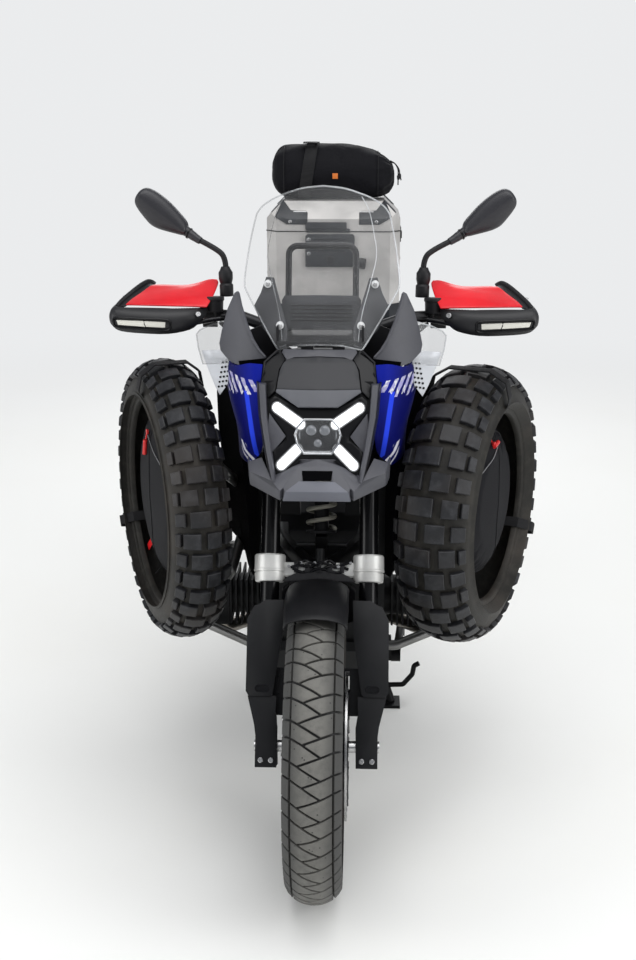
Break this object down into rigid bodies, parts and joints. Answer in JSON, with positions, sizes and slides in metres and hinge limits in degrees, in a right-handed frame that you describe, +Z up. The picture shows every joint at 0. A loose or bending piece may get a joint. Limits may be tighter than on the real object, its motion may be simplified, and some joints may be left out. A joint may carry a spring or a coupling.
{
  "type": "adventure motorcycle",
  "caption": "Flat-twin adventure motorcycle on its centre stand, with spare tyres in the crash bars, a clear screen, a top case and a roll bag.",
  "frame": {"origin": "middle of the bounding box on the floor under both tyres", "axes": "+X to the rider's left, +Y to the tail, +Z up"},
  "size_m": [1.0762, 2.212, 1.515],
  "materials": {
    "frame_paint": "satin dark grey paint",
    "engine_metal": "dark cast alloy, lightly rough",
    "cover_metal": "satin grey cast cover",
    "exhaust_steel": "brushed stainless steel, slightly warm",
    "bar_steel": "brushed stainless tube",
    "tank_paint": "deep blue clear-coated paint",
    "black_plastic": "black moulded plastic with a fine grain",
    "beak_plastic": "grey matte moulded plastic",
    "lamp_clear": "clear lamp cover",
    "screen_clear": "clear screen",
    "clear_winglet": "clear winglet",
    "red_plastic": "red plastic, half gloss",
    "tail_red": "red lamp cover",
    "display_glass": "black display",
    "mirror_face": "mirror",
    "clamp_alloy": "bright machined clamp",
    "fork_black": "black anodised tube",
    "silver_alloy": "satin aluminium",
    "disc_steel": "brushed disc",
    "rim_paint": "satin black rim",
    "tyre": "matte tyre rubber",
    "seat_vinyl": "black grained seat cover",
    "bag_cloth": "black woven cloth",
    "radiator_alloy": "dark finned radiator"
  },
  "bodies": {
    "chassis": {"main_frame": "frame_paint", "engine_case": "engine_metal", "cylinders": "engine_metal", "head_covers": "cover_metal", "exhaust": "exhaust_steel", "skid_plate": "silver_alloy", "fuel_tank": "tank_paint", "side_panels": "tank_paint", "front_cowl": "beak_plastic", "headlamp": "lamp_clear", "hood_panel": "black_plastic", "windscreen": "screen_clear", "screen_brackets": "black_plastic", "wind_deflectors": "beak_plastic", "winglets": "clear_winglet", "instrument_panel": "display_glass", "nav_bar": "fork_black", "radiators": "radiator_alloy", "telelever_arm": "frame_paint", "front_strut": "bar_steel", "swingarm": "frame_paint", "rear_strut": "bar_steel", "rear_hugger": "black_plastic", "seat_rider": "seat_vinyl", "seat_pillion": "seat_vinyl", "rear_rack": "fork_black", "tail_unit": "black_plastic", "tail_lamp": "tail_red", "case_base": "silver_alloy", "case_lock": "black_plastic", "crash_bars_left": "bar_steel", "crash_bars_right": "bar_steel", "spare_tyre_left": "tyre", "spare_tyre_right": "tyre", "tyre_bag_left": "bag_cloth", "tyre_bag_right": "bag_cloth", "stand_bracket": "frame_paint", "footpegs": "frame_paint"},
    "steering": {"fork_tubes": "fork_black", "fork_sliders": "fork_black", "fork_bridge": "clamp_alloy", "top_yoke": "fork_black", "handlebar": "fork_black", "handguards": "black_plastic", "guard_covers": "red_plastic", "mirrors": "black_plastic", "mirror_glasses": "mirror_face", "front_mudguard": "black_plastic", "brake_calipers": "fork_black", "front_axle": "silver_alloy"},
    "front_wheel": {"front_tyre": "tyre", "front_rim": "rim_paint", "front_discs": "disc_steel"},
    "rear_wheel": {"rear_tyre": "tyre", "rear_rim": "rim_paint"},
    "centre_stand": {"centre_stand": "frame_paint"},
    "side_stand": {"side_stand": "frame_paint"},
    "case_lid": {"case_lid": "silver_alloy", "roll_bag": "bag_cloth"}
  },
  "joints": [
    {"name": "steering_turn", "type": "hinge", "parent": "chassis", "child": "steering", "pos_m": [0, -0.5667, 0.6631], "axis": [0, 0.4415, 0.8973], "range_deg": [-35, 35]},
    {"name": "front_wheel_spin", "type": "hinge", "parent": "steering", "child": "front_wheel", "pos_m": [0, -0.781, 0.325], "axis": [1, 0, 0], "continuous": true},
    {"name": "rear_wheel_spin", "type": "hinge", "parent": "chassis", "child": "rear_wheel", "pos_m": [0, 0.737, 0.338], "axis": [1, 0, 0], "continuous": true},
    {"name": "centre_stand_fold", "type": "hinge", "parent": "chassis", "child": "centre_stand", "pos_m": [0, 0.119, 0.25], "axis": [1, 0, 0], "range_deg": [0, 80]},
    {"name": "side_stand_fold", "type": "hinge", "parent": "chassis", "child": "side_stand", "pos_m": [0.184, -0.181, 0.268], "axis": [-1, 0, 0], "range_deg": [0, 100]},
    {"name": "case_lid_open", "type": "hinge", "parent": "chassis", "child": "case_lid", "pos_m": [0, 0.639, 1.265], "axis": [1, 0, 0], "range_deg": [0, 85]}
  ]
}
